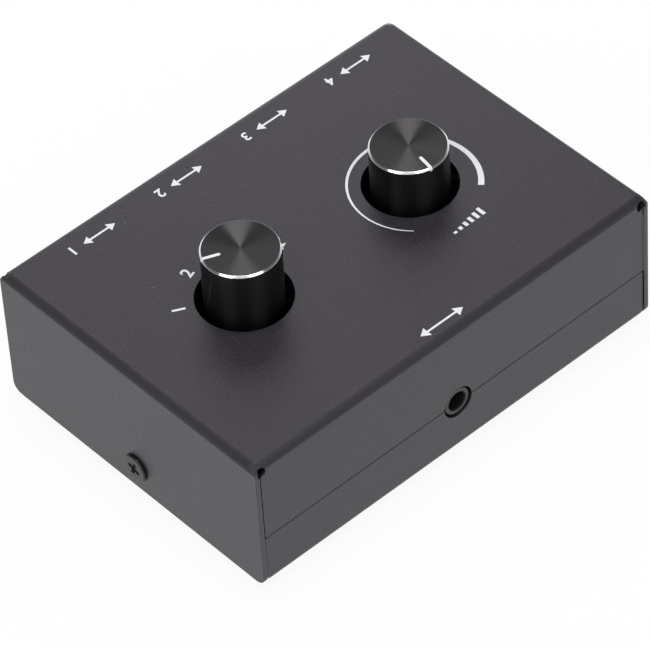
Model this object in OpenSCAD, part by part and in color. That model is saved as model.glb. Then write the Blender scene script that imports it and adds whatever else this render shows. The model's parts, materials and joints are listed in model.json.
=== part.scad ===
// Audio switch box: a bent-sheet case with a four-way selector, a volume control and five sockets.
// X runs along the front, the front face looks to -Y and Z is up.
// The origin lies on the table, under the middle of the case.

/* [Case] */
// Outside width of the case, left to right
case_w = 92; // [88:0.5:110]
// Depth of the case over its front and rear faces
case_d = 65.8; // [64:0.1:90]
// Height from the lower edge of the side flanges to the top panel
case_h = 28.8; // [27.5:0.1:40]
// Thickness of the sheet of both covers
sheet_t = 1; // [0.8:0.1:1.4]
// Outside radius of the bends
bend_r = 1.5; // [1.45:0.05:3]
// Height of the seam between the covers, above the lower edge
seam_h = 11.1; // [10.5:0.1:12.5]
// Gap of the seam between the covers
seam_gap = 0.12; // [0.08:0.02:0.4]
// Gap from the ends of the front and rear flanges to the side flanges
end_gap = 0.16; // [0.14:0.02:0.4]
// How far the front and rear flanges of the top cover sit to the right
flange_shift = 0.12; // [0:0.02:0.12]
// How far the side flanges stand out from the front and rear faces
flange_proud = 0.2; // [0.1:0.05:0.5]
// Radius of the lower corners of the side flanges
flange_corner_r = 2; // [0.5:0.1:4]
// Radius of the lower corners of the bottom cover
floor_corner_r = 1.8; // [0.3:0.1:2]
// Width of the bend reliefs at the top corners
relief_w = 1.9; // [1:0.1:1.9]
// Length of the bend reliefs, down the front and rear flanges
relief_l = 2; // [2:0.1:3]
// Distance from the top panel to the upper end of a bend relief
relief_drop = 0.65; // [0.5:0.05:0.9]
// Slope of the cut that takes off the tip of a top corner
corner_slope = 34; // [28:1:38]

/* [Side screws] */
// Height of the side screws above the lower edge
screw_h = 5.1; // [4.6:0.1:5.8]
// Place of the side screws along the sides, from the middle to the rear
screw_y = -0.5; // [-3:0.1:3]
// Thread diameter of every screw
thread_d = 3; // [2.5:0.1:3.5]
// Diameter of the low head of a side screw
head_d = 5.5; // [5:0.1:7]
// Height of the head over the outer face
head_h = 0.65; // [0.5:0.05:1]
// Radius round the edge of the head
head_round = 0.3; // [0.1:0.05:0.4]
// Length of a side screw under its head
screw_len = 5; // [4:0.5:6]
// Gap round a side screw in the top cover
screw_clear = 0.2; // [0.1:0.05:0.4]
// Width of the screw tabs of the bottom cover
tab_w = 16; // [10:0.5:24]
// Height of a screw tab above the screw
tab_over = 4; // [3:0.5:6]
// Width of the arms of the cross recesses
recess_w = 0.8; // [0.6:0.1:1]
// Depth of the cross recesses
recess_deep = 0.5; // [0.4:0.1:1]
// Length of the arms of the cross recesses, tip to tip
recess_l = 2.8; // [2:0.1:3.2]
// Turn of the cross recesses of the side screws
recess_turn = 20; // [0:5:85]

/* [Feet] */
// Diameter of a foot
foot_d = 8; // [6:0.5:12]
// Height of a foot
foot_h = 1.5; // [1:0.1:3]
// Bevel round the lower edge of a foot
foot_bevel = 0.4; // [0.2:0.1:0.8]
// Distance of a foot's centre from the case's sides
foot_inset = 8; // [7.5:0.5:14]

/* [Board] */
// Thickness of the circuit board
board_t = 1.6; // [1:0.1:2]
// Gap from the board's sides to the tips of the side screws
board_clear = 1; // [0.3:0.1:2]
// Gap from the board's front and rear edges to the flanges
board_edge = 2.8; // [1:0.1:6]
// Corner radius of the board
board_corner_r = 2; // [0.5:0.5:4]
// Diameter of the standoffs under the board
post_d = 6; // [5:0.1:7]
// Distance of the standoffs from the board's edges
post_inset = 4; // [3.6:0.1:6]
// Gap from the rear standoffs to the ends of the sockets
post_clear = 0.8; // [0.5:0.1:2]
// Length of the board screws under the head
board_screw_len = 6; // [4:0.5:6]
// Head diameter of the board screws
pan_d = 5.5; // [5:0.1:6]
// Head height of the board screws
pan_h = 2; // [1.4:0.1:2.5]
// Length of the solder tails below the board
tail = 1.2; // [0.5:0.1:2]

/* [Sockets] */
// Bore of a socket
bore_d = 3.6; // [3.5:0.05:3.8]
// Depth of the bore
bore_deep = 14.2; // [13:0.1:16]
// Wall behind the bore
end_wall = 0.55; // [0.4:0.05:1.5]
// Diameter of the nose round the bore
nose_d = 5.6; // [4.8:0.1:6]
// Gap round the nose in the covers
nose_clear = 0.4; // [0.2:0.1:1]
// Depth of the nose's end below the outer face
nose_sink = 0.3; // [0.1:0.05:0.8]
// Gap from the covers to the front of the socket body
jack_gap = 0.6; // [0.2:0.1:1.5]
// Width of a socket body
jack_w = 11; // [10:0.1:14]
// Height of a socket body
jack_h = 6; // [5.6:0.1:8]
// Height of the bore above the board
jack_axis_h = 3; // [2.6:0.1:3.4]
// Bevel at the mouth of the bore
mouth_bevel = 0.25; // [0.1:0.05:0.4]
// Distance of the outer rear sockets from the case's sides
rear_inset = 16; // [14.5:0.5:20]
// Thickness of the contact springs
contact_t = 0.3; // [0.2:0.05:0.4]
// Width of the contact springs
contact_w = 2.4; // [2:0.1:2.8]

/* [Controls] */
// Distance between the axes of the two controls
knob_pitch = 39; // [34:0.5:46]
// Place of the middle between the control axes, left to right
knob_x = -0.2; // [-2:0.1:2]
// Place of the control axes, front to rear
knob_y = -1.2; // [-4:0.1:2]
// Diameter of the shafts
shaft_d = 6; // [5.6:0.1:6.2]
// Height of the flat side of a shaft over its axis
shaft_flat = 1.5; // [1:0.1:2.5]
// Radial clearance of a shaft in its bushing
running_gap = 0.05; // [0.03:0.01:0.1]
// Diameter of the bushings
bushing_d = 7; // [6.8:0.1:8]
// Diameter of the bushings' flanges
flange_d = 10; // [9:0.1:12]
// Thickness of the bushings' flanges
flange_t = 1; // [0.6:0.1:1.5]
// Thickness of the retaining clips
clip_t = 0.6; // [0.4:0.05:0.8]
// Outside diameter of the retaining clips
clip_d = 8.4; // [7.5:0.1:9]
// Diameter of the collar that holds a shaft in
collar_d = 7.8; // [7.2:0.1:8]
// Diameter of the lower, driving end of a shaft
drive_d = 4; // [3:0.1:4.4]

/* [Knobs] */
// Diameter of a knob
knob_d = 14.2; // [13:0.1:18]
// Overall height of a knob
knob_h = 15.2; // [13.5:0.1:18]
// Gap round a knob in the top panel
knob_gap = 1.6; // [0.5:0.05:2.5]
// Height of the selector knob's top above the panel
selector_top = 11.5; // [10:0.1:14]
// Height of the volume knob's top above the panel
volume_top = 9.1; // [8:0.1:12]
// Wall of a knob's shell
knob_wall = 1; // [0.6:0.1:1.5]
// Thickness of a knob's top
knob_roof = 1.2; // [1:0.1:2]
// Bright bevel round a knob's top
knob_bevel = 0.4; // [0.3:0.05:0.9]
// Bevel round a knob's lower edge
knob_foot_bevel = 0.2; // [0.1:0.05:0.4]
// Length of the insert that grips the shaft
insert_len = 10; // [8:0.5:11]
// Thickness of the insert over the end of the shaft
insert_roof = 1.2; // [0.8:0.1:2]
// Width of a pointer line
pointer_w = 0.6; // [0.4:0.05:1]
// Distance of a pointer line's inner end from the axis
pointer_in = 3.6; // [2:0.1:5]
// Depth of a pointer line in the knob's top
pointer_deep = 0.3; // [0.2:0.05:0.5]
// Length of a pointer line down the knob's side
pointer_drop = 0.75; // [0.7:0.05:2]

/* [Selector] */
// Width of the selector's square body
selector_w = 17; // [16:0.1:20]
// Height of the selector's body over the board
selector_h = 8.6; // [8.2:0.1:10]
// Thickness of the selector's base
selector_base_t = 1.4; // [1:0.1:1.6]
// Thickness of the selector's roof
selector_roof = 1.5; // [1:0.1:1.8]
// Height of the selector's bushing over the body
selector_bushing_h = 5; // [3:0.1:5.5]
// Radius of the room for the rotor
selector_room_r = 7; // [6.9:0.05:7.3]
// Radius of the rotor
rotor_r = 6.2; // [6:0.05:6.4]
// Height of the rotor
rotor_h = 3; // [2.5:0.1:3.2]
// Radius of the circle of outer pins
pin_circle_r = 5.3; // [5:0.05:5.5]
// Radius of the circle of common contacts
common_r = 2.7; // [2.6:0.05:2.9]
// Radius of a detent notch
notch_r = 0.9; // [0.6:0.1:1.2]
// Depth of a detent notch
notch_deep = 0.45; // [0.3:0.05:0.6]
// Radius of the detent ball
ball_r = 1; // [0.8:0.05:1.1]
// Thickness of the detent leaf spring
leaf_t = 0.3; // [0.2:0.05:0.5]
// Angle of the pointer at the first position
selector_rest = 157.5; // [140:0.5:170]
// Turn from one position to the next
selector_step = 45; // [45]

/* [Volume control] */
// Outside radius of the can
can_r = 8.5; // [8.3:0.1:9.5]
// Wall of the can
can_wall = 0.6; // [0.4:0.05:0.8]
// Height of the can over the board
can_h = 6.8; // [6.6:0.1:8]
// Thickness of the can's roof
can_roof = 0.8; // [0.5:0.1:1]
// Thickness of the base plate in the can
volume_base_t = 1.2; // [0.8:0.1:1.4]
// Height of the bushing over the can
volume_bushing_h = 4.5; // [3:0.1:5]
// Height of the wiper carrier
carrier_h = 2.4; // [2:0.1:2.6]
// Radius of the wiper carrier
carrier_r = 6.4; // [6.2:0.05:6.6]
// Radius of the middle of the outer track
outer_track_r = 5.9; // [5.7:0.05:6.1]
// Radius of the middle of the inner track
inner_track_r = 3.8; // [3.6:0.05:4]
// Width of the carbon tracks
track_w = 1.2; // [0.8:0.1:1.4]
// Thickness of the carbon tracks
track_t = 0.2; // [0.1:0.05:0.3]
// Width of the stop in the can
stop_w = 5; // [4:0.1:5.2]
// Width of the stop lug of the carrier
lug_w = 2; // [1.5:0.1:2.2]
// Angle of the pointer at the lowest volume
volume_rest = -99.5; // [-110:0.5:-90]
// Turn from the lowest to the highest volume
volume_turn = 300; // [270:1:300]

/* [Hidden] */
$fn = 72;

// Overshoot of a cutting shape past the face that it opens
cut = 1;
// Snug gap between fixed pieces that slide together
snug = 0.05;
// Gap that a turning piece keeps to its neighbours
turn_gap = 0.2;

// Levels of the case
edge_z = foot_h;
panel_z = edge_z + case_h;
seam_z = edge_z + seam_h;
floor_top_z = edge_z + sheet_t;
inner_w = case_w - 2 * (sheet_t + end_gap);
flange_l = case_d + 2 * flange_proud;
// Where the flat of the top panel ends and the bends begin
flat_x = case_w / 2 - bend_r;
flat_y = case_d / 2 - bend_r;
screw_z = edge_z + screw_h;
thread_r = thread_d / 2;
// Bevel at the tips of the screws
screw_tip = 0.4;

// Sockets
jack_z = seam_z;
nose_len = sheet_t + jack_gap - nose_sink;
jack_l = bore_deep + end_wall - nose_len;
mouth_y = case_d / 2 - nose_sink;
nose_hole_d = nose_d + 2 * nose_clear;
rear_pitch = (case_w - 2 * rear_inset) / 3;
rear_x = [for (i = [0:3]) (i - 1.5) * rear_pitch];
bore_r = bore_d / 2;
// Gap from the contact bumps to the bore
bump_gap = 0.05;
bump_r = 0.75;
contact_x = bore_r + bump_gap + bump_r;
// Wall between the bore and a contact's pocket
pocket_gap = 0.5;
pocket_x = bore_r + pocket_gap;
pocket_wall = 0.6;
pocket_top = 1.6;
// Side of the bore and distance from the mouth of the sleeve, ring and tip contacts
contact_places = [[1, 3.6], [-1, 7.4], [1, 11.2]];
tail_w = 0.8;
tail_hole_d = 1.2;

// Board
board_top = jack_z - jack_axis_h;
board_bottom = board_top - board_t;
board_w = case_w - 2 * (screw_len + board_clear);
board_d = case_d - 2 * (sheet_t + board_edge);
post_x = board_w / 2 - post_inset;
post_front_y = -(board_d / 2 - post_inset);
post_rear_y = mouth_y - nose_len - jack_l - post_clear - post_d / 2;
post_places = [for (x = [-post_x, post_x], y = [post_front_y, post_rear_y]) [x, y]];

// Knobs
knob_r = knob_d / 2;
knob_hole_r = knob_r + knob_gap;
knob_room_r = knob_r - knob_wall;
shaft_r = shaft_d / 2;
bushing_bore_r = shaft_r + running_gap;
// Depth of the clip groove in a shaft, and of the flat on its driving end
clip_groove_deep = 0.5;
drive_flat_deep = 0.5;
clip_groove_r = shaft_r - clip_groove_deep;
drive_flat = drive_d / 2 - drive_flat_deep;
// Overlap of a clip's jaws round the groove, on each side of its mouth
clip_bite = 0.5;
selector_knob_z = panel_z + selector_top - knob_h;
volume_knob_z = panel_z + volume_top - knob_h;
// Height of a shaft's end over the lower edge of its knob
shaft_end = knob_h - knob_roof - insert_roof - turn_gap;

// Selector, heights over the board
pin_head_r = 0.8;
pin_head_t = 0.3;
pin_r = 0.4;
wiper_t = 0.3;
wiper_w = 1.2;
wiper_bump_r = 0.5;
wiper_bump_h = 0.4;
wiper_gap = 0.05;
rotor_z = selector_base_t + pin_head_t + wiper_gap + wiper_bump_h + wiper_t;
rotor_top = rotor_z + rotor_h;
selector_ceiling = selector_h - selector_roof;
stop_pin_r = 0.8;
stop_circle_r = 5;
// Angle between the lug and a stop pin where they meet, with a spare degree
stop_reach = 2 * asin(stop_pin_r / stop_circle_r) + 1;
selector_range = 3 * selector_step;
selector_stops = [selector_rest + stop_reach, selector_rest - selector_range - stop_reach];
ball_y = rotor_r + turn_gap + ball_r;
ball_z = rotor_z + rotor_h / 2;
leaf_inset = 2.5;
leaf_w = selector_w - 2 * leaf_inset;
leaf_h = 5;
leaf_pin_r = 0.7;
leaf_pin_inset = 1.5;
leaf_pin_x = leaf_w / 2 - leaf_pin_inset;
// Width of the common contacts, and how far they run past the last positions in all
common_w = 1;
common_over = 20;

// Volume control, heights over the board
can_lift = 0.3;
can_room_r = can_r - can_wall;
carrier_z = volume_base_t + track_t + wiper_gap + wiper_bump_h + wiper_t;
carrier_top = carrier_z + carrier_h;
can_ceiling = can_h - can_roof;
lug_r = can_room_r - turn_gap;
stop_r = carrier_r + turn_gap;
// Middle of the blind sector between the two ends of the turn
blind_angle = volume_rest + (360 - volume_turn) / 2;
// How far the tracks run past the ends of the turn in all
track_over = 4;
track_arc = volume_turn + track_over;
// Length of a wiper past its bump
wiper_over = 0.3;
volume_pin_angles = [-24, 0, 24];

module rounded_top_2d(w, h, r) {
    translate([-w / 2, 0])
        square([w, h - r]);
    translate([-w / 2 + r, 0])
        square([w - 2 * r, h]);
    for (side = [-1, 1])
        translate([side * (w / 2 - r), h - r])
            circle(r);
}

// A sheet bent down on both sides, open below
module channel_2d(w, h) {
    difference() {
        rounded_top_2d(w, h, bend_r);
        translate([0, -cut])
            rounded_top_2d(w - 2 * sheet_t, h - sheet_t + cut, bend_r - sheet_t);
    }
}

// Stands a flat shape up so that it faces the front, and pulls it out along Y
module along_y(length) {
    rotate([90, 0, 0])
        linear_extrude(length, center = true)
            children();
}

// Stands a flat shape up so that it faces the side, and pulls it out along X
module along_x(length) {
    rotate([90, 0, 90])
        linear_extrude(length, center = true)
            children();
}

// A round bar along Y that starts at the front of its place
module bar_y(r, length) {
    rotate([-90, 0, 0])
        cylinder(r = r, h = length);
}

// A round bar with one flat side towards +X
module flat_bar(r, flat, h) {
    difference() {
        cylinder(r = r, h = h);
        translate([flat, -r - cut, -cut])
            cube([r + cut, 2 * (r + cut), h + 2 * cut]);
    }
}

module cross_recess() {
    for (turn = [0, 90])
        rotate(turn)
            translate([-recess_l / 2, -recess_w / 2, -recess_deep])
                cube([recess_l, recess_w, recess_deep + cut]);
}

// Mouth of a socket as origin, with +Y into the case
module at_jack(x, side) {
    translate([x, side * mouth_y, jack_z])
        rotate(side > 0 ? 180 : 0)
            children();
}

module at_all_jacks() {
    at_jack(0, -1)
        children();
    for (x = rear_x)
        at_jack(x, 1)
            children();
}

module at_selector(z = board_top) {
    translate([knob_x - knob_pitch / 2, knob_y, z])
        children();
}

module at_volume(z = board_top) {
    translate([knob_x + knob_pitch / 2, knob_y, z])
        children();
}

// Holes round the noses of the sockets, half in each cover
module nose_holes() {
    at_all_jacks()
        translate([0, -cut, 0])
            bar_y(nose_hole_d / 2, nose_sink + sheet_t + 2 * cut);
}

// Upright slot at one end of a front or rear bend
module bend_relief() {
    r = relief_w / 2;
    upper = panel_z - relief_drop - r;
    lower = panel_z - relief_drop - relief_l + r;
    depth = bend_r + flange_proud + cut;
    translate([flat_x, flat_y, 0]) {
        for (z = [lower, upper])
            translate([0, 0, z])
                bar_y(r, depth);
        translate([-r, 0, lower])
            cube([2 * r, depth, upper - lower]);
    }
}

// Slanted cut from the corner of the panel's flat outwards
module corner_cut() {
    reach = 3 * (bend_r + flange_proud);
    translate([flat_x, flat_y, panel_z])
        rotate(45)
            rotate([0, corner_slope, 0])
                translate([0, -reach, 0])
                    cube([reach, 2 * reach, reach]);
}

module top_cover() {
    end_h = case_h - seam_h - seam_gap / 2;
    bend_room = bend_r + flange_proud + cut;
    color([0.24, 0.24, 0.25])
        difference() {
            union() {
                difference() {
                    intersection() {
                        translate([0, 0, edge_z])
                            along_y(flange_l)
                                channel_2d(case_w, case_h);
                        translate([0, 0, panel_z])
                            mirror([0, 0, 1])
                                along_x(case_w + 2 * cut)
                                    rounded_top_2d(flange_l, case_h, flange_corner_r);
                    }
                    for (side = [0, 1])
                        mirror([0, side, 0])
                            translate([-flat_x, flat_y, panel_z - bend_r])
                                cube([2 * flat_x, bend_room, bend_room]);
                }
                difference() {
                    translate([flange_shift, 0, panel_z - end_h])
                        along_x(inner_w)
                            channel_2d(case_d, end_h);
                    for (side = [0, 1])
                        mirror([side, 0, 0])
                            translate([flat_x, -flange_l / 2, panel_z - bend_r])
                                cube([bend_room, flange_l, bend_room]);
                }
            }
            for (x = [0, 1], y = [0, 1])
                mirror([x, 0, 0])
                    mirror([0, y, 0]) {
                        bend_relief();
                        corner_cut();
                    }
            nose_holes();
            at_selector(panel_z - sheet_t - cut)
                cylinder(r = knob_hole_r, h = sheet_t + 2 * cut);
            at_volume(panel_z - sheet_t - cut)
                cylinder(r = knob_hole_r, h = sheet_t + 2 * cut);
            for (side = [0, 1])
                mirror([side, 0, 0])
                    at_side_screw()
                        translate([0, 0, -sheet_t - cut])
                            cylinder(r = thread_r + screw_clear, h = sheet_t + 2 * cut);
        }
}

// Outer face at a side screw as origin, with +Z out of the case
module at_side_screw() {
    translate([case_w / 2, screw_y, screw_z])
        rotate([0, 90, 0])
            children();
}

module bottom_cover() {
    side_h = seam_h - seam_gap / 2;
    tab_h = screw_h + tab_over;
    relief = 1;
    color([0.24, 0.24, 0.25])
        difference() {
            union() {
                difference() {
                    intersection() {
                        translate([0, 0, edge_z + side_h])
                            mirror([0, 0, 1])
                                along_x(inner_w)
                                    channel_2d(case_d, side_h);
                        translate([0, 0, edge_z + side_h])
                            mirror([0, 0, 1])
                                along_y(case_d + 2 * cut)
                                    rounded_top_2d(inner_w, side_h, floor_corner_r);
                    }
                    for (side = [0, 1])
                        mirror([side, 0, 0])
                            translate([inner_w / 2 - bend_r, -tab_w / 2 - relief, edge_z - cut])
                                cube([bend_r + cut, tab_w + 2 * relief, sheet_t + 2 * cut]);
                }
                translate([0, 0, edge_z + tab_h])
                    mirror([0, 0, 1])
                        along_y(tab_w)
                            channel_2d(inner_w, tab_h);
            }
            nose_holes();
            for (side = [0, 1])
                mirror([side, 0, 0])
                    at_side_screw()
                        translate([0, 0, -2 * sheet_t - end_gap - cut])
                            cylinder(r = thread_r + snug, h = sheet_t + 2 * cut);
        }
}

module side_screws() {
    color([0.1, 0.1, 0.11])
        for (side = [0, 1])
            mirror([side, 0, 0])
                at_side_screw()
                    difference() {
                        rotate_extrude() {
                            intersection() {
                                rounded_top_2d(head_d, head_h, head_round);
                                square([head_d, head_h]);
                            }
                            polygon([
                                [0, head_h / 2], [thread_r, head_h / 2], [thread_r, -screw_len + screw_tip],
                                [thread_r - screw_tip, -screw_len], [0, -screw_len]
                            ]);
                        }
                        translate([0, 0, head_h])
                            rotate(recess_turn)
                                cross_recess();
                    }
}

module rubber_feet() {
    r = foot_d / 2;
    color([0.08, 0.08, 0.08])
        for (x = [-1, 1], y = [-1, 1])
            translate([x * (case_w / 2 - foot_inset), y * (case_d / 2 - foot_inset), 0])
                rotate_extrude()
                    polygon([[0, 0], [r - foot_bevel, 0], [r, foot_bevel], [r, foot_h], [0, foot_h]]);
}

module board_posts() {
    color([0.75, 0.75, 0.72])
        for (place = post_places)
            translate([place[0], place[1], floor_top_z])
                difference() {
                    cylinder(d = post_d, h = board_bottom - floor_top_z);
                    cylinder(r = thread_r + snug, h = board_bottom - floor_top_z + cut);
                }
}

module board_screws() {
    dome = 0.5;
    r = pan_d / 2;
    reach = min(board_screw_len, board_top - floor_top_z - snug);
    color([0.7, 0.7, 0.7])
        for (place = post_places)
            translate([place[0], place[1], board_top])
                difference() {
                    rotate_extrude()
                        polygon([
                            [0, pan_h], [r - dome, pan_h], [r, pan_h - dome], [r, 0], [thread_r, 0],
                            [thread_r, -reach + screw_tip], [thread_r - screw_tip, -reach], [0, -reach]
                        ]);
                    translate([0, 0, pan_h])
                        cross_recess();
                }
}

module circuit_board() {
    x = board_w / 2 - board_corner_r;
    y = board_d / 2 - board_corner_r;
    color([0.1, 0.35, 0.2])
        translate([0, 0, board_bottom])
            difference() {
                union() {
                    translate([-x, -board_d / 2, 0])
                        cube([2 * x, board_d, board_t]);
                    translate([-board_w / 2, -y, 0])
                        cube([board_w, 2 * y, board_t]);
                    for (sx = [-1, 1], sy = [-1, 1])
                        translate([sx * x, sy * y, 0])
                            cylinder(r = board_corner_r, h = board_t);
                }
                for (place = post_places)
                    translate([place[0], place[1], -cut])
                        cylinder(r = thread_r + 2 * snug, h = board_t + 2 * cut);
                translate([0, 0, -board_bottom]) {
                    at_all_jacks()
                        for (place = contact_places)
                            translate([place[0] * (contact_x + contact_t / 2), place[1], 0])
                                tail_hole(-jack_axis_h);
                    at_selector()
                        at_selector_pins()
                            tail_hole(0);
                    at_volume()
                        at_volume_pins()
                            tail_hole(0);
                }
            }
}

// Hole for one solder tail, with the top of the board at height z
module tail_hole(z) {
    translate([0, 0, z - board_t - cut])
        cylinder(d = tail_hole_d, h = board_t + 2 * cut);
}

module jack_body() {
    color([0.12, 0.12, 0.13])
        difference() {
            union() {
                translate([-jack_w / 2, nose_len, -jack_axis_h])
                    cube([jack_w, jack_l, jack_h]);
                bar_y(nose_d / 2, nose_len + cut);
            }
            translate([0, -cut, 0])
                bar_y(bore_r, bore_deep + cut);
            rotate([-90, 0, 0])
                cylinder(r1 = bore_r + mouth_bevel, r2 = bore_r, h = mouth_bevel);
            for (place = contact_places)
                translate([0, place[1], 0])
                    mirror([place[0] > 0 ? 0 : 1, 0, 0])
                        contact_pocket();
        }
}

// Room for one contact beside the bore, open below, with a window to the bore
module contact_pocket() {
    half = contact_w / 2 + 2 * snug;
    window = bump_r + snug;
    translate([pocket_x, -half, -jack_axis_h - cut])
        cube([jack_w / 2 - pocket_wall - pocket_x, 2 * half, jack_axis_h + cut + pocket_top]);
    translate([0, -window, -window])
        cube([pocket_x + snug, 2 * window, 2 * window]);
}

module jack_contacts() {
    height = jack_axis_h + pocket_top - 2 * snug;
    color([0.85, 0.8, 0.65])
        for (place = contact_places)
            translate([0, place[1], 0])
                mirror([place[0] > 0 ? 0 : 1, 0, 0]) {
                    translate([contact_x, -contact_w / 2, -jack_axis_h])
                        cube([contact_t, contact_w, height]);
                    translate([contact_x, -tail_w / 2, -jack_axis_h - board_t - tail])
                        cube([contact_t, tail_w, board_t + tail + snug]);
                    intersection() {
                        translate([contact_x, 0, 0])
                            sphere(r = bump_r);
                        translate([0, -bump_r - cut, -bump_r - cut])
                            cube([contact_x + contact_t / 2, 2 * (bump_r + cut), 2 * (bump_r + cut)]);
                    }
                }
}

// Solder pins of the selector: eight round the outside and two commons
module at_selector_pins() {
    for (i = [0:7])
        rotate(selector_rest - i * selector_step)
            translate([pin_circle_r, 0, 0])
                children();
    for (turn = [0, 180])
        rotate(selector_rest - selector_range / 2 + turn)
            translate([common_r, 0, 0])
                children();
}

module selector_base() {
    w = selector_w;
    color([0.45, 0.3, 0.18])
        at_selector()
            difference() {
                translate([-w / 2, -w / 2, 0])
                    cube([w, w, selector_base_t]);
                at_selector_pins()
                    translate([0, 0, -cut])
                        cylinder(r = pin_r + snug, h = selector_base_t + 2 * cut);
            }
}

module selector_pins() {
    arc = selector_range + common_over;
    color([0.85, 0.8, 0.65])
        at_selector() {
            at_selector_pins()
                translate([0, 0, -board_t - tail])
                    cylinder(r = pin_r, h = board_t + tail + selector_base_t + pin_head_t / 2);
            for (i = [0:7])
                rotate(selector_rest - i * selector_step)
                    translate([pin_circle_r, 0, selector_base_t])
                        cylinder(r = pin_head_r, h = pin_head_t);
            for (turn = [0, 180])
                rotate(selector_rest - selector_range / 2 + turn - arc / 2)
                    translate([0, 0, selector_base_t])
                        rotate_extrude(angle = arc)
                            translate([common_r - common_w / 2, 0])
                                square([common_w, pin_head_t]);
        }
}

module selector_housing() {
    w = selector_w;
    color([0.14, 0.14, 0.15])
        at_selector() {
            difference() {
                translate([-w / 2, -w / 2, selector_base_t])
                    cube([w, w, selector_h - selector_base_t]);
                translate([0, 0, selector_base_t - cut])
                    cylinder(r = selector_room_r, h = selector_ceiling - selector_base_t + cut);
                cylinder(r = bushing_d / 2 + snug, h = selector_h + cut);
                translate([0, rotor_r, ball_z])
                    bar_y(ball_r + snug, w / 2);
            }
            for (angle = selector_stops)
                rotate(angle)
                    translate([stop_circle_r, 0, rotor_top + turn_gap])
                        cylinder(r = stop_pin_r, h = selector_ceiling - rotor_top - turn_gap + snug);
            for (x = [-leaf_pin_x, leaf_pin_x])
                translate([x, w / 2 - snug, ball_z])
                    bar_y(leaf_pin_r, leaf_t + 2 * snug);
        }
}

// Threaded bushing on a body of the given height and ceiling
module control_bushing(ceiling, body_h, bushing_h) {
    color([0.72, 0.72, 0.7])
        difference() {
            union() {
                translate([0, 0, ceiling])
                    cylinder(d = bushing_d, h = body_h - ceiling + bushing_h);
                translate([0, 0, body_h])
                    cylinder(d = flange_d, h = flange_t);
            }
            translate([0, 0, ceiling - cut])
                cylinder(r = bushing_bore_r, h = body_h - ceiling + bushing_h + 2 * cut);
        }
}

// Shaft with a driving end, a collar under the ceiling, a clip groove and a flat for the knob
module control_shaft(drive_z, seat_z, ceiling, clip_z, end_z) {
    collar_h = ceiling - seat_z - turn_gap;
    color([0.8, 0.8, 0.78]) {
        translate([0, 0, drive_z])
            flat_bar(drive_d / 2, drive_flat, seat_z - drive_z + snug);
        translate([0, 0, seat_z])
            cylinder(d = collar_d, h = collar_h);
        difference() {
            translate([0, 0, seat_z])
                cylinder(r = shaft_r, h = end_z - seat_z);
            translate([0, 0, clip_z - snug])
                difference() {
                    cylinder(r = shaft_r + cut, h = clip_t + 2 * snug);
                    translate([0, 0, -cut])
                        cylinder(r = clip_groove_r, h = clip_t + 2 * cut);
                }
            translate([shaft_flat, -shaft_r - cut, end_z - insert_len])
                cube([shaft_r, 2 * (shaft_r + cut), insert_len + cut]);
        }
    }
}

// Open ring in the groove of a shaft
module retaining_clip() {
    mouth = 2 * (clip_groove_r - clip_bite);
    color([0.6, 0.6, 0.62])
        difference() {
            cylinder(d = clip_d, h = clip_t);
            translate([0, 0, -cut])
                cylinder(r = clip_groove_r + snug, h = clip_t + 2 * cut);
            translate([0, -mouth / 2, -cut])
                cube([clip_d, mouth, clip_t + 2 * cut]);
        }
}

// Strip under a turning carrier with bumps at the given radii, pointing along +X
module wiper_strip(radii, inner, outer) {
    translate([inner, -wiper_w / 2, -wiper_t])
        cube([outer - inner, wiper_w, wiper_t]);
    for (r = radii)
        translate([r, 0, -wiper_t - wiper_bump_h])
            cylinder(r1 = wiper_bump_r / 2, r2 = wiper_bump_r, h = wiper_bump_h + snug);
}

// Room for the driving end of a shaft
module drive_hole(h) {
    translate([0, 0, -cut])
        flat_bar(drive_d / 2 + snug, drive_flat + snug, h + 2 * cut);
}

module selector_bushing() {
    at_selector()
        control_bushing(selector_ceiling, selector_h, selector_bushing_h);
}

module selector_detent_ball() {
    color([0.8, 0.8, 0.82])
        at_selector()
            translate([0, ball_y, ball_z])
                sphere(r = ball_r);
}

module selector_detent_spring() {
    color([0.7, 0.7, 0.72])
        at_selector()
            translate([0, selector_w / 2, ball_z])
                difference() {
                    translate([-leaf_w / 2, 0, -leaf_h / 2])
                        cube([leaf_w, leaf_t, leaf_h]);
                    for (x = [-leaf_pin_x, leaf_pin_x])
                        translate([x, -cut, 0])
                            bar_y(leaf_pin_r + snug, leaf_t + 2 * cut);
                }
}

module selector_shaft() {
    clip_z = selector_h + selector_bushing_h + turn_gap;
    end_z = selector_knob_z + shaft_end - board_top;
    at_selector()
        rotate(selector_rest)
            control_shaft(rotor_z + snug, rotor_top, selector_ceiling, clip_z, end_z);
}

module selector_clip() {
    at_selector(board_top + selector_h + selector_bushing_h + turn_gap)
        rotate(selector_rest)
            retaining_clip();
}

module selector_rotor() {
    color([0.9, 0.9, 0.85])
        at_selector(board_top + rotor_z) {
            difference() {
                cylinder(r = rotor_r, h = rotor_h);
                rotate(selector_rest)
                    drive_hole(rotor_h);
                for (i = [0:7])
                    rotate(90 + i * selector_step)
                        translate([rotor_r + notch_r - notch_deep, 0, -cut])
                            cylinder(r = notch_r, h = rotor_h + 2 * cut);
            }
            rotate(selector_rest)
                translate([stop_circle_r, 0, rotor_h - snug])
                    cylinder(r = stop_pin_r, h = selector_ceiling - rotor_top - turn_gap + snug);
        }
}

module selector_wipers() {
    color([0.85, 0.7, 0.35])
        at_selector(board_top + rotor_z)
            for (turn = [0, 180])
                rotate(selector_rest + turn)
                    wiper_strip(
                        [common_r, pin_circle_r], common_r - wiper_w / 2, pin_circle_r + wiper_w / 2
                    );
}

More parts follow.
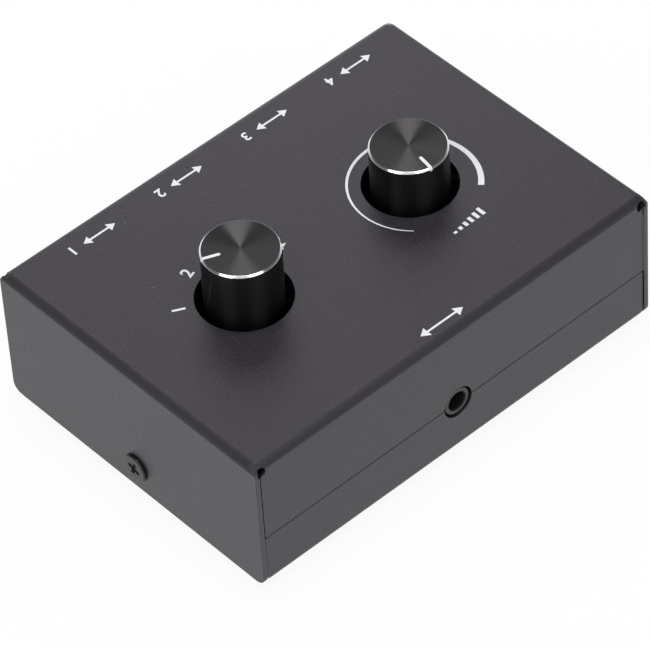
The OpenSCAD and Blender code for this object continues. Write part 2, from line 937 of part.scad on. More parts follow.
// Turned aluminium cup with the groove of its pointer line, pointing along +X
module knob_shell() {
    color([0.1, 0.1, 0.11])
        difference() {
            rotate_extrude()
                polygon([
                    [knob_room_r, 0], [knob_r - knob_foot_bevel, 0], [knob_r, knob_foot_bevel],
                    [knob_r, knob_h - knob_bevel], [knob_r - knob_bevel, knob_h], [0, knob_h],
                    [0, knob_h - knob_roof], [knob_room_r, knob_h - knob_roof]
                ]);
            pointer_groove();
        }
}

module pointer_groove() {
    translate([pointer_in, -pointer_w / 2, knob_h - pointer_deep])
        cube([knob_r, pointer_w, pointer_deep + cut]);
    translate([knob_r - knob_bevel, -pointer_w / 2, knob_h - pointer_drop])
        cube([knob_bevel + cut, pointer_w, pointer_drop + cut]);
}

// White line that fills the groove, flush with the knob
module knob_pointer() {
    color([0.95, 0.95, 0.95])
        intersection() {
            rotate_extrude()
                polygon([
                    [0, 0], [knob_r, 0], [knob_r, knob_h - knob_bevel],
                    [knob_r - knob_bevel, knob_h], [0, knob_h]
                ]);
            pointer_groove();
        }
}

module knob_insert() {
    bottom = knob_h - knob_roof - insert_len;
    color([0.16, 0.16, 0.17])
        translate([0, 0, bottom])
            difference() {
                cylinder(r = knob_room_r - snug, h = insert_len);
                translate([0, 0, -cut])
                    flat_bar(shaft_r + snug, shaft_flat + snug, insert_len - insert_roof + cut);
            }
}

module selector_knob() {
    at_selector(selector_knob_z)
        rotate(selector_rest)
            knob_shell();
}

module selector_knob_insert() {
    at_selector(selector_knob_z)
        rotate(selector_rest)
            knob_insert();
}

module selector_pointer() {
    at_selector(selector_knob_z)
        rotate(selector_rest)
            knob_pointer();
}

// Solder pins of the volume control, in the blind sector of both tracks
module at_volume_pins() {
    for (angle = volume_pin_angles, r = [inner_track_r, outer_track_r])
        rotate(blind_angle + angle)
            translate([r, 0, 0])
                children();
}

module volume_base() {
    color([0.45, 0.3, 0.18])
        at_volume()
            difference() {
                cylinder(r = can_room_r - snug, h = volume_base_t);
                at_volume_pins()
                    translate([0, 0, -cut])
                        cylinder(r = pin_r + snug, h = volume_base_t + 2 * cut);
            }
}

module volume_tracks() {
    color([0.1, 0.1, 0.1])
        at_volume(board_top + volume_base_t)
            for (r = [inner_track_r, outer_track_r])
                rotate(volume_rest - volume_turn / 2 - track_arc / 2)
                    rotate_extrude(angle = track_arc)
                        translate([r - track_w / 2, 0])
                            square([track_w, track_t]);
}

module volume_pins() {
    color([0.85, 0.8, 0.65])
        at_volume()
            at_volume_pins()
                translate([0, 0, -board_t - tail])
                    cylinder(r = pin_r, h = board_t + tail + volume_base_t);
}

module volume_can() {
    color([0.78, 0.78, 0.75])
        at_volume() {
            difference() {
                translate([0, 0, can_lift])
                    cylinder(r = can_r, h = can_h - can_lift);
                cylinder(r = can_room_r, h = can_ceiling);
                cylinder(r = bushing_d / 2 + snug, h = can_h + cut);
            }
            intersection() {
                rotate(blind_angle)
                    translate([stop_r, -stop_w / 2, carrier_z])
                        cube([can_r - stop_r, stop_w, can_ceiling - carrier_z + snug]);
                cylinder(r = can_room_r + snug, h = can_h);
            }
        }
}

module volume_bushing() {
    at_volume()
        control_bushing(can_ceiling, can_h, volume_bushing_h);
}

module volume_shaft() {
    clip_z = can_h + volume_bushing_h + turn_gap;
    end_z = volume_knob_z + shaft_end - board_top;
    at_volume()
        rotate(volume_rest)
            control_shaft(carrier_z + snug, carrier_top, can_ceiling, clip_z, end_z);
}

module volume_clip() {
    at_volume(board_top + can_h + volume_bushing_h + turn_gap)
        rotate(volume_rest)
            retaining_clip();
}

module volume_carrier() {
    color([0.9, 0.9, 0.85])
        at_volume(board_top + carrier_z)
            rotate(volume_rest)
                difference() {
                    union() {
                        cylinder(r = carrier_r, h = carrier_h);
                        intersection() {
                            translate([0, -lug_w / 2, 0])
                                cube([can_r, lug_w, carrier_h]);
                            cylinder(r = lug_r, h = carrier_h);
                        }
                    }
                    drive_hole(carrier_h);
                }
}

module volume_wipers() {
    half = wiper_w / 2 + wiper_over;
    color([0.85, 0.7, 0.35])
        at_volume(board_top + carrier_z)
            rotate(volume_rest)
                for (r = [inner_track_r, outer_track_r])
                    wiper_strip([r], r - half, r + half);
}

module volume_knob() {
    at_volume(volume_knob_z)
        rotate(volume_rest)
            knob_shell();
}

module volume_knob_insert() {
    at_volume(volume_knob_z)
        rotate(volume_rest)
            knob_insert();
}

module volume_pointer() {
    at_volume(volume_knob_z)
        rotate(volume_rest)
            knob_pointer();
}

module front_jack(piece) {
    at_jack(0, -1)
        jack_piece(piece);
}

module rear_jack(number, piece) {
    at_jack(rear_x[number - 1], 1)
        jack_piece(piece);
}

module jack_piece(piece) {
    if (piece == "body")
        jack_body();
    else
        jack_contacts();
}

top_cover();
bottom_cover();
side_screws();
rubber_feet();
board_posts();
board_screws();
circuit_board();
front_jack("body");  // front_jack_body
front_jack("contacts");  // front_jack_contacts
rear_jack(1, "body");  // rear_jack_1_body
rear_jack(1, "contacts");  // rear_jack_1_contacts
rear_jack(2, "body");  // rear_jack_2_body
rear_jack(2, "contacts");  // rear_jack_2_contacts
rear_jack(3, "body");  // rear_jack_3_body
rear_jack(3, "contacts");  // rear_jack_3_contacts
rear_jack(4, "body");  // rear_jack_4_body
rear_jack(4, "contacts");  // rear_jack_4_contacts
selector_base();
selector_pins();
selector_housing();
selector_bushing();
selector_detent_ball();
selector_detent_spring();
selector_shaft();
selector_clip();
selector_rotor();
selector_wipers();
selector_knob();
selector_knob_insert();
selector_pointer();
volume_base();
volume_tracks();
volume_pins();
volume_can();
volume_bushing();
volume_shaft();
volume_clip();
volume_carrier();
volume_wipers();
volume_knob();
volume_knob_insert();
volume_pointer();
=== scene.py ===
# %% [markdown]
# # Audio switch box
# The real box is two bent steel sheets in a black powder coat, screwed together at the sides. On top sit
# a four-way selector and a volume control with turned aluminium knobs, and five small sockets look out at
# the front and the rear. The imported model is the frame: every piece below is made in metres in its place,
# so nothing has to be fitted by eye.

# %% Load the frame
import json
import math

import bmesh
import bpy
from mathutils import Matrix, Vector


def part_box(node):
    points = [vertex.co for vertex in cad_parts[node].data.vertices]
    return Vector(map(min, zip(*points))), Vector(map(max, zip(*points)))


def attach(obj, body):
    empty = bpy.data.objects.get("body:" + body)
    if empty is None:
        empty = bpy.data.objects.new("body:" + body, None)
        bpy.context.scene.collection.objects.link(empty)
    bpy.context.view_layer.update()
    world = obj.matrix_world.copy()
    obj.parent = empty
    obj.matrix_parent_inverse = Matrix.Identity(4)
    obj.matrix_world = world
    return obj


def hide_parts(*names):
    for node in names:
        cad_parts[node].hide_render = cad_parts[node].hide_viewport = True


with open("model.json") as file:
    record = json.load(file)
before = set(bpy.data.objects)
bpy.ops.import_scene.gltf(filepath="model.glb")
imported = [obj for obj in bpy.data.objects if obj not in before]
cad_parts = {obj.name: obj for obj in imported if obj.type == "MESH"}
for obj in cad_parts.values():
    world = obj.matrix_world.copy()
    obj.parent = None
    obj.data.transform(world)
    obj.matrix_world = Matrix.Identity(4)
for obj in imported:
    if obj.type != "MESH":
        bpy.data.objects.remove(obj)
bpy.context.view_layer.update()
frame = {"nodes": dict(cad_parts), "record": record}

MM = 0.001

# %% [markdown]
# ## Places
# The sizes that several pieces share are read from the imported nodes, so they follow the frame by
# themselves: the height of the top panel, and the axis, radius and height of each knob.

# %% Places from the frame
PANEL_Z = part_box("top_cover")[1].z


def knob_place(control):
    """Axis point at the lower edge, radius and height of a control's knob."""
    low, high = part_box(control + "_knob")
    centre = (low + high) / 2
    return Vector((centre.x, centre.y, low.z)), (high.x - low.x) / 2, high.z - low.z


SELECTOR_FOOT, KNOB_R, KNOB_H = knob_place("selector")
VOLUME_FOOT = knob_place("volume")[0]
KNOB_FEET = {"selector": SELECTOR_FOOT, "volume": VOLUME_FOOT}
print("panel at", round(PANEL_Z / MM, 2), "mm, knobs", round(2 * KNOB_R / MM, 2), "mm across")

# %% [markdown]
# ## Node trees in code
# A material and a Geometry Nodes tree are both graphs of nodes. Drawn by hand they are clear, written in
# code they soon drown in links, so two small classes hide the linking: `Sketch.node` adds one node, and
# `Value` wraps a socket so that sums of sockets can be written as plain Python.


# %% A value that takes part in sums
class Value:
    """A node's output that can be added, multiplied and compared like a number."""

    def __init__(self, sketch, socket):
        self.sketch = sketch
        self.socket = socket

    def math(self, operation, first, second=0.0):
        return self.sketch.node("ShaderNodeMath", {"operation": operation}, {0: first, 1: second})

    def __add__(self, other):
        return self.math("ADD", self, other)

    def __radd__(self, other):
        return self.math("ADD", other, self)

    def __sub__(self, other):
        return self.math("SUBTRACT", self, other)

    def __rsub__(self, other):
        return self.math("SUBTRACT", other, self)

    def __mul__(self, other):
        return self.math("MULTIPLY", self, other)

    def __rmul__(self, other):
        return self.math("MULTIPLY", other, self)

    def __truediv__(self, other):
        return self.math("DIVIDE", self, other)

    def __rtruediv__(self, other):
        return self.math("DIVIDE", other, self)

    def __pow__(self, other):
        return self.math("POWER", self, other)

    def __lt__(self, other):
        return self.math("LESS_THAN", self, other)

    def __gt__(self, other):
        return self.math("GREATER_THAN", self, other)

    def cos(self):
        return self.math("COSINE", self)

    def sin(self):
        return self.math("SINE", self)

    def least(self, other):
        return self.math("MINIMUM", self, other)

    def most(self, other):
        return self.math("MAXIMUM", self, other)


# %% A node tree that is drawn by code
class Sketch:
    """A node tree with one way to add a node."""

    def __init__(self, tree):
        self.tree = tree

    def feed(self, socket, value):
        if isinstance(value, Value):
            self.tree.links.new(value.socket, socket)
        else:
            socket.default_value = value

    def node(self, kind, settings=None, sockets=None, output=0):
        """Adds a node and gives the output asked for, or a list where several are asked for."""
        made = self.tree.nodes.new(kind)
        for name, value in (settings or {}).items():
            setattr(made, name, value)
        for name, value in (sockets or {}).items():
            self.feed(made.inputs[name], value)
        if isinstance(output, tuple):
            return [Value(self, made.outputs[each]) for each in output]
        return Value(self, made.outputs[output]) if made.outputs else None

    def split(self, vector):
        return self.node("ShaderNodeSeparateXYZ", {}, {0: vector}, (0, 1, 2))

    def join(self, x, y, z):
        return self.node("ShaderNodeCombineXYZ", {}, {0: x, 1: y, 2: z})

    def ease(self, value, start, end, low=0.0, high=1.0):
        """Runs softly from low to high while the value goes from start to end."""
        limits = {0: value, 1: start, 2: end, 3: low, 4: high}
        return self.node("ShaderNodeMapRange", {"interpolation_type": "SMOOTHSTEP"}, limits)


# %% [markdown]
# ## Finishes
# A finish is a material with a Principled shader. What is the same all over is set straight on the
# shader's sockets. What varies comes from noise on Object coordinates: the pieces lie at the origin with
# their place in their mesh, so one millimetre in a pattern is one millimetre on the box.


# %% A finish
def srgb(*levels):
    """A colour as a picture gives it, 0 to 255, made linear for a shader."""
    parts = [x / 255 for x in levels]
    return tuple(p / 12.92 if p <= 0.04045 else ((p + 0.055) / 1.055) ** 2.4 for p in parts) + (1.0,)


class Finish(Sketch):
    """A material round one Principled shader."""

    def __init__(self, name, **constants):
        self.material = bpy.data.materials.new(name)
        self.material.use_nodes = True
        super().__init__(self.material.node_tree)
        self.shader = self.tree.nodes["Principled BSDF"]
        self.paint(**constants)

    def paint(self, **sockets):
        """Sets or links sockets of the shader, written with _ for a space."""
        for name, value in sockets.items():
            self.feed(self.shader.inputs[name.replace("_", " ")], value)

    def spot(self, centre=(0.0, 0.0, 0.0)):
        """Object coordinates measured from a centre."""
        place = self.node("ShaderNodeTexCoord", {}, {}, "Object")
        return self.node("ShaderNodeMapping", {}, {"Vector": place, "Location": [-c for c in centre]})

    def noise(self, vector, size, detail=2.0):
        return self.node("ShaderNodeTexNoise", {}, {"Vector": vector, "Scale": 1 / size, "Detail": detail})

    def stripes(self, value, size):
        """Noise along one value only."""
        sockets = {"W": value, "Scale": 1 / size, "Detail": 1.0}
        return self.node("ShaderNodeTexNoise", {"noise_dimensions": "1D"}, sockets)

    def mix(self, factor, first, second):
        return self.node("ShaderNodeMix", {"data_type": "RGBA"}, {0: factor, 6: first, 7: second}, 2)

    def bump(self, height, depth):
        return self.node("ShaderNodeBump", {}, {"Distance": depth, "Height": height})


# %% [markdown]
# ## Powder coat
# Powder coat is baked paint: satin black with a fine orange-peel skin and small paler flecks, a little
# duller here and glossier there, and now and then a speck of dust. One picture could hold all that, but
# it would blur when seen close. Two sizes of noise give the skin as bump, a slow noise shifts the shade,
# and scattered Voronoi cells give the specks. Over the front and left bends the coat is rougher, and its
# colour is darkened there as painted shade for the dark band that the light leaves along the bends; the
# place on the box tells where a bend starts and ends.

# %% Where the coat is dull and darkened as painted shade
BEND_R = 1.5 * MM
BEND_FADE = 0.26 * MM
BEND_TOE = 0.45 * MM
LEFT_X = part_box("top_cover")[0].x
FRONT_Y = -32.9 * MM


def dull_bends_with_painted_shade(coat, spot):
    """Mask that is 1 on the front and left bends of the top cover and fades to 0 beside them."""
    x, y, z = coat.split(spot)
    left = coat.ease(x, LEFT_X + BEND_R, LEFT_X + BEND_R - BEND_FADE)
    front = coat.ease(y, FRONT_Y + BEND_R, FRONT_Y + BEND_R - BEND_FADE)
    toe = PANEL_Z - BEND_R
    return left.most(front) * coat.ease(z, toe, toe + BEND_TOE)


print("dull bends start at", [round((face + BEND_R) / MM, 2) for face in (LEFT_X, FRONT_Y)], "mm")

# %% Powder coat
SKIN = 0.3 * MM
PEEL = 0.8 * MM
PEEL_DEPTH = 0.075 * MM
FLECK = 0.24 * MM
FLECK_FADE = (0.52, 0.72)
CLOUD = 9 * MM
DUST_R = 0.099 * MM
DUST_CELL = 4.5 * MM
DUST_PATCH = 7 * MM
DUST_ABOVE = 0.55


def powder_coat():
    coat = Finish("case_paint", IOR=1.6, Specular_Tint=(0.97, 0.92, 1.0, 1.0))
    spot = coat.spot()
    bend = dull_bends_with_painted_shade(coat, spot)
    cloud = coat.noise(spot, CLOUD)
    skin = coat.noise(spot, SKIN)
    peel = coat.noise(spot, PEEL, 1.0)
    cell = {"Vector": spot, "Scale": 1 / DUST_CELL}
    off_centre = coat.node("ShaderNodeTexVoronoi", {}, cell, "Distance")
    dust = (off_centre < DUST_R / DUST_CELL) * (coat.noise(spot, DUST_PATCH, 0.0) > DUST_ABOVE)
    fleck = coat.ease(coat.noise(spot, FLECK, 1.0), *FLECK_FADE)
    shade = coat.mix(cloud * 0.5 + skin * 0.5, srgb(25, 22, 28), srgb(36, 32, 39))
    shade = coat.mix(fleck, shade, srgb(50, 47, 53))
    # Painted shade: the colour is darkened over the front and left bends to deepen the dark band the light
    # leaves there.
    shade = coat.mix(bend * 0.6, shade, srgb(10, 9, 11))
    coat.paint(
        Base_Color=coat.mix(dust * 0.6, shade, srgb(150, 148, 146)),
        Roughness=0.31 + skin * 0.16 + bend * 0.26,
        Normal=coat.bump(skin * 0.6 + peel * 0.4, PEEL_DEPTH),
    )
    return coat


COAT = powder_coat()
print("powder coat:", len(COAT.tree.nodes), "nodes")

# %% [markdown]
# ## Turned aluminium
# A lathe leaves fine rings that smear light across themselves, so a spun face shows bright wedges that
# point at its middle. The rings are far smaller than a pixel and can't be mesh. The shader's own
# anisotropy does the smearing: without a tangent of its own it runs round the middle of the piece, and a
# quarter turn sets it across the rings. Noise along the radius lets single rings show. A cutting tool
# leaves grooves with one flank steeper than the other, so the spun top leans its light a little inwards:
# a bump that rises with the radius. The bevel is cut bright after the black.

# %% Finishes of a knob
GROOVE_LEAN = 0.09
SPUN_R = KNOB_R - 0.5 * MM
TOP_RING = 0.1 * MM
SIDE_RING = 0.05 * MM
SIDE_WEAR = 2.5 * MM
BEVEL_WEAR = 0.5 * MM


def knob_finishes(control, axis):
    """Black side, bright cut bevel and dark spun top of one knob."""
    across = {"Anisotropic": 1.0, "Anisotropic_Rotation": 0.25}
    side = Finish(control + "_knob_side", IOR=1.4, **across)
    spot = side.spot(axis)
    band = side.stripes(side.split(spot)[2], SIDE_RING)
    worn = side.noise(spot, SIDE_WEAR)
    side.paint(
        Base_Color=side.mix(worn, srgb(2, 2, 3), srgb(5, 5, 6)),
        Roughness=0.28 + band * 0.015,
    )
    bevel = Finish(control + "_knob_bevel", Metallic=1.0)
    worn = bevel.noise(bevel.spot(axis), BEVEL_WEAR)
    bevel.paint(
        Base_Color=bevel.mix(worn, srgb(226, 226, 229), srgb(245, 245, 247)),
        Roughness=0.12 + worn * 0.05,
    )
    top = Finish(control + "_knob_top", Metallic=1.0, **across)
    x, y, _ = top.split(top.spot(axis))
    radius = (x * x + y * y) ** 0.5
    ring = top.stripes(radius, TOP_RING)
    top.paint(
        Base_Color=top.mix(ring, srgb(62, 60, 62), srgb(77, 75, 77)),
        Roughness=0.29 + ring * 0.05,
        Normal=top.bump(radius.least(SPUN_R), GROOVE_LEAN),
    )
    return [side, bevel, top]


KNOB_FINISHES = {control: knob_finishes(control, foot) for control, foot in KNOB_FEET.items()}
print("knob finishes:", [finish.material.name for made in KNOB_FINISHES.values() for finish in made])

# %% [markdown]
# ## The other finishes
# Ink, plastics, rubber and plated metals share one recipe: a colour that drifts between two shades, a
# roughness that drifts with it and a fine bump at the scale of the real surface. The board has a recipe
# of its own, with copper tracks that show through its green mask.

# %% Recipe for plain finishes
ROUGH_DRIFT = 0.1


def drifting(name, dark, light, roughness, patch, grain, depth, **constants):
    """A finish that drifts over patches, with a grain of its own size and depth, all in millimetres."""
    made = Finish(name, **constants)
    spot = made.spot()
    drift = made.noise(spot, patch * MM)
    fine = made.noise(spot, grain * MM, 3.0)
    made.paint(
        Base_Color=made.mix(drift, srgb(*dark), srgb(*light)),
        Roughness=roughness - ROUGH_DRIFT / 2 + drift * ROUGH_DRIFT,
        Normal=made.bump(fine, depth * MM),
    )
    return made


INK = drifting("pointer_white", (220, 221, 223), (234, 234, 235), 0.5, 0.5, 0.1, 0.004)
SOCKET = drifting("jack_plastic", (32, 31, 33), (40, 39, 41), 0.38, 1.5, 0.12, 0.006)
# Painted shade: the bore's finish is darker than the socket and barely reflects, in place of the shadow
# deep in the bore.
BORE_SHADE = drifting("jack_bore", (22, 19, 23), (30, 27, 31), 0.6, 1.0, 0.12, 0.006, Specular_IOR_Level=0.1)
SCREW = drifting("screw_black", (14, 13, 15), (22, 20, 23), 0.36, 0.8, 0.15, 0.02, IOR=1.52)
RUBBER = drifting("foot_rubber", (26, 26, 27), (34, 34, 35), 0.8, 2.0, 0.2, 0.03)
print("outer finishes:", [finish.material.name for finish in (INK, SOCKET, BORE_SHADE, SCREW, RUBBER)])

# %% Circuit board
TRACK_PITCH = 6 * MM
TRACK_DEPTH = 0.03 * MM
FIBRE = 0.5 * MM


def board_finish():
    """Green solder mask over copper tracks, which show as paler bands."""
    board = Finish("board_green", IOR=1.5)
    spot = board.spot()
    track = board.node(
        "ShaderNodeTexBrick",
        {"offset": 0.5},
        {"Vector": spot, "Scale": 1 / TRACK_PITCH, "Mortar Size": 0.06, "Mortar Smooth": 0.2,
         "Brick Width": 0.9, "Row Height": 0.35},
        "Fac",
    )
    fibre = board.noise(spot, FIBRE, 3.0)
    mask = board.mix(fibre, srgb(30, 70, 54), srgb(38, 84, 64))
    board.paint(
        Base_Color=board.mix(track * 0.8, mask, srgb(58, 112, 86)),
        Roughness=0.32 + fibre * 0.12,
        Normal=board.bump(track + fibre * 0.2, TRACK_DEPTH),
    )
    return board


BOARD = board_finish()
print("circuit board:", len(BOARD.tree.nodes), "nodes")

# %% Finishes of the other pieces inside
# Each row: dark and light shade, roughness, patch, grain, depth of the grain, and 1 for metal.
INSIDE = {
    "zinc_steel": ((176, 176, 172), (200, 200, 196), 0.36, 1.2, 0.2, 0.01, 1.0),
    "contact_metal": ((196, 184, 150), (216, 206, 176), 0.3, 0.8, 0.15, 0.006, 1.0),
    "base_plate": ((112, 76, 46), (132, 92, 58), 0.55, 1.0, 0.15, 0.012, 0.0),
    "carbon": ((24, 24, 25), (34, 34, 35), 0.6, 0.6, 0.1, 0.008, 0.0),
    "switch_plastic": ((34, 34, 36), (42, 42, 44), 0.45, 1.5, 0.15, 0.008, 0.0),
    "can_steel": ((136, 136, 134), (156, 156, 154), 0.45, 1.5, 0.25, 0.01, 1.0),
    "bushing_metal": ((182, 182, 178), (200, 200, 196), 0.32, 1.0, 0.2, 0.01, 1.0),
    "shaft_metal": ((196, 196, 194), (214, 214, 212), 0.28, 1.0, 0.2, 0.008, 1.0),
    "rotor_plastic": ((222, 220, 206), (232, 230, 218), 0.5, 1.5, 0.2, 0.008, 0.0),
    "wiper_metal": ((206, 172, 98), (222, 190, 118), 0.3, 0.8, 0.15, 0.006, 1.0),
    "insert_plastic": ((38, 38, 40), (46, 46, 48), 0.5, 1.5, 0.2, 0.008, 0.0),
}
FINISHES = {name: drifting(name, *row[:6], Metallic=row[6]) for name, row in INSIDE.items()}
FINISHES["board_green"] = BOARD
print("finishes:", len(bpy.data.materials))

# %% [markdown]
# ## From mesh to piece
# Every piece ends the same way: its mesh is smooth apart from sharp creases, big faces have the say over
# the normals at their edges so that flats stay flat, its object lies at the origin and it rides on a body
# of the frame. Where it stands for nodes of the frame, they are hidden.

# %% Finish a piece
CREASE = math.radians(35)


def evaluated_mesh(holder):
    """Plain mesh of an object with its modifiers, which is then removed."""
    done = bpy.data.meshes.new_from_object(holder.evaluated_get(bpy.context.evaluated_depsgraph_get()))
    holder.modifiers.clear()
    bpy.data.objects.remove(holder)
    return done


def linked(name, data):
    """New object of a mesh, text, lamp or camera, in the scene."""
    made = bpy.data.objects.new(name, data)
    bpy.context.scene.collection.objects.link(made)
    return made


def meshed(name, bm, *finishes):
    """Plain mesh of a mesh that is being edited, with its finishes in order."""
    mesh = bpy.data.meshes.new(name)
    bm.to_mesh(mesh)
    bm.free()
    for finish in finishes:
        mesh.materials.append(finish.material)
    return mesh


def keep(name, mesh, body, stands_for=()):
    """Makes the piece of a finished mesh and ties it to the frame."""
    mesh.shade_smooth()
    mesh.set_sharp_from_angle(angle=CREASE)
    holder = linked(name + "_draft", mesh)
    holder.modifiers.new("weights", "WEIGHTED_NORMAL").keep_sharp = True
    piece = linked(name, evaluated_mesh(holder))
    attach(piece, body)
    if stands_for:
        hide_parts(*stands_for)
    print(name, len(piece.data.polygons), "faces")


# %% [markdown]
# ## The covers
# Bent sheet has soft edges: the punch rounds them a little and the paint rounds them more, and a thin
# line of light runs along each. The frame's solids have knife edges. A copy of the solid is welded, its
# flat parts are merged and the edges that show get a narrow bevel. Where the faces at an edge's ends are
# slivers, as at the ends of the bends, a bevel would fold them over, so such edges stay as they are.

# %% Rounded copies of the frame's solids
WELD = 2e-6
FLAT = math.radians(0.5)
SHARP = math.radians(40)
SLIVER = math.radians(20)
ROOM = 2.2
EDGE_STEPS = 2
SHEET_EDGE = 0.07 * MM


def rounded_copy(node, width, finish):
    """Mesh of a node with its sharp edges rounded, where the neighbouring edges leave room."""
    bm = bmesh.new()
    bm.from_mesh(frame["nodes"][node].data)
    bmesh.ops.remove_doubles(bm, verts=bm.verts, dist=WELD)
    bmesh.ops.dissolve_limit(bm, angle_limit=FLAT, verts=bm.verts, edges=bm.edges)

    def is_sharp(edge):
        return edge.is_manifold and edge.calc_face_angle(0) > SHARP

    def has_room(edge):
        around = [e for v in edge.verts for e in v.link_edges if e is not edge and not is_sharp(e)]
        corners = [corner.calc_angle() for v in edge.verts for corner in v.link_loops]
        return all(e.calc_length() > ROOM * width for e in around) and min(corners) > SLIVER

    edges = [e for e in bm.edges if is_sharp(e) and has_room(e)]
    bmesh.ops.bevel(
        bm, geom=edges, offset=width, offset_type="OFFSET", segments=EDGE_STEPS, profile=0.5,
        affect="EDGES", clamp_overlap=False,
    )
    return meshed(node, bm, finish)


for node in ("top_cover", "bottom_cover"):
    keep(node + "_sheet", rounded_copy(node, SHEET_EDGE, COAT), "case", [node])


# %% [markdown]
# ## Paint in the right joints
# The front and rear flanges of the top cover nearly touch the right side flange, and the coat has run
# into these two joints and closed them. A slim three-sided bar of paint lies in each, from the seam up to
# the corner hole.

# %% Paint in the right joints
JOINT_X = (44.8 * MM, 45.02 * MM)
JOINT_Y = (32.84 * MM, 32.9 * MM, 33.07 * MM)
JOINT_Z = (12.75 * MM, 26.6 * MM)


def joint_paint():
    bm = bmesh.new()
    outline = ((JOINT_X[0], JOINT_Y[1]), (JOINT_X[1], JOINT_Y[2]), (JOINT_X[1], JOINT_Y[0]))
    for side in (-1, 1):
        low, high = ([bm.verts.new((x, side * y, z)) for x, y in outline] for z in JOINT_Z)
        bm.faces.new(low)
        bm.faces.new(high)
        for i in range(len(outline)):
            bm.faces.new((low[i - 1], low[i], high[i], high[i - 1]))
    bmesh.ops.recalc_face_normals(bm, faces=bm.faces)
    return meshed("joint_paint", bm, COAT)


keep("joint_paint", joint_paint(), "case")

# %% [markdown]
# ## Sockets and side screws
# The sockets are moulded plastic and the screws are pressed steel in black oxide. Both have edges of
# about a tenth of a millimetre, so they take the same way as the covers. The faces of a socket's bore and
# of its bevelled mouth, which look at the bore's axis, get a darker finish of their own that barely
# reflects: painted shade for the deep shadow in the bore.

# %% Sockets and side screws
BORE_REACH = 2.2 * MM
INWARD = -0.3
SOCKET_EDGE = 0.16 * MM
SCREW_EDGE = 0.06 * MM


def looks_inward(face, axis):
    """True for a face of the bore or of its mouth, round an axis along Y."""
    off = Vector((face.center.x - axis.x, 0, face.center.z - axis.z))
    return off.length < BORE_REACH and face.normal.dot(off.normalized()) < INWARD


for mount in frame["record"]["mounts"]:
    if mount["kind"] == "bore":
        node = mount["name"].replace("socket", "jack") + "_body"
        shell = rounded_copy(node, SOCKET_EDGE, SOCKET)
        # The bore's faces take the painted shade.
        shell.materials.append(BORE_SHADE.material)
        for face in shell.polygons:
            face.material_index = int(looks_inward(face, Vector(mount["pos_m"])))
        keep(node + "_shell", shell, "case", [node])
heads = rounded_copy("side_screws", SCREW_EDGE, SCREW)
keep("side_screw_heads", heads, "case", ["side_screws"])

# %% [markdown]
# ## Knobs
# A knob is turned from bar: a profile swept once round the axis. Blender's Screw modifier would do, but
# the three finishes change along the profile, so the rings are made by hand and each stretch of the
# profile says which finish it wears. The corners of the profile are rounded by the small radius that a
# cutting tool leaves.

# %% Turn a profile
CORNER_STEPS = 4
TURN_STEPS = 128


def rounded(corners):
    """Profile with its corners rounded. A corner is radius, height, rounding and finish of what follows."""
    points = []
    for i, (r, z, rounding, finish) in enumerate(corners):
        here = Vector((r, z))
        if rounding == 0:
            points.append((here, finish))
            continue
        before, after = (Vector(corners[i + side][:2]) for side in (-1, 1))
        start = here + (before - here).normalized() * rounding
        end = here + (after - here).normalized() * rounding
        for step in range(CORNER_STEPS + 1):
            t = step / CORNER_STEPS
            bend = start * (1 - t) ** 2 + here * 2 * t * (1 - t) + end * t ** 2
            points.append((bend, corners[i - 1][3] if step < CORNER_STEPS // 2 else finish))
    return points


def turned(name, corners, axis, finishes):
    """Closed mesh of a profile turned about a vertical axis, from the axis round to the axis."""
    profile = rounded(corners)
    turns = [2 * math.pi * i / TURN_STEPS for i in range(TURN_STEPS)]
    bm = bmesh.new()
    rings = []
    for point, _ in profile:
        z = axis.z + point.y
        if point.x < WELD:
            rings.append([bm.verts.new((axis.x, axis.y, z))] * TURN_STEPS)
            continue
        rings.append([
            bm.verts.new((axis.x + point.x * math.cos(a), axis.y + point.x * math.sin(a), z))
            for a in turns
        ])
    for (_, finish), upper, lower in zip(profile, rings, rings[1:]):
        for i in range(TURN_STEPS):
            j = (i + 1) % TURN_STEPS
            corner = dict.fromkeys((upper[i], upper[j], lower[j], lower[i]))
            bm.faces.new(list(corner)).material_index = finish
    bmesh.ops.recalc_face_normals(bm, faces=bm.faces)
    return meshed(name, bm, *finishes)


# %% The two knobs
KNOB_BEVEL = 0.34 * MM
KNOB_DISH = 0.1 * MM
KNOB_EYE = 0.2 * MM
FOOT_BEVEL = 0.2 * MM
KNOB_WALL = 1.0 * MM
KNOB_ROOF = 1.2 * MM
SIDE, BEVEL, TOP = 0, 1, 2
# Each corner: radius, height, rounding and finish of what follows.
KNOB_PROFILE = [
    (0.0, KNOB_H - KNOB_DISH, 0.0, TOP),
    (KNOB_EYE, KNOB_H - KNOB_DISH * (1 - KNOB_EYE / (KNOB_R - KNOB_BEVEL)), 0.0, TOP),
    (KNOB_R - KNOB_BEVEL, KNOB_H, 0.06 * MM, BEVEL),
    (KNOB_R, KNOB_H - KNOB_BEVEL, 0.08 * MM, SIDE),
    (KNOB_R, FOOT_BEVEL, 0.05 * MM, SIDE),
    (KNOB_R - FOOT_BEVEL, 0.0, 0.05 * MM, SIDE),
    (KNOB_R - KNOB_WALL, 0.0, 0.1 * MM, SIDE),
    (KNOB_R - KNOB_WALL, KNOB_H - KNOB_ROOF, 0.0, SIDE),
    (0.0, KNOB_H - KNOB_ROOF, 0.0, SIDE),
]
for control, foot in KNOB_FEET.items():
    shell = turned(control + "_knob", KNOB_PROFILE, foot, KNOB_FINISHES[control])
    keep(control + "_knob_shell", shell, control, [control + "_knob"])


# %% [markdown]
# ## Pointer lines
# Each knob carries a white line of filled paint that starts half way out, runs over the bevel and ends on
# the side. It follows the knob's profile: a strip with a round inner end, as thick as the paint that
# shows and rooted a little below the surface so that no gap opens under it.

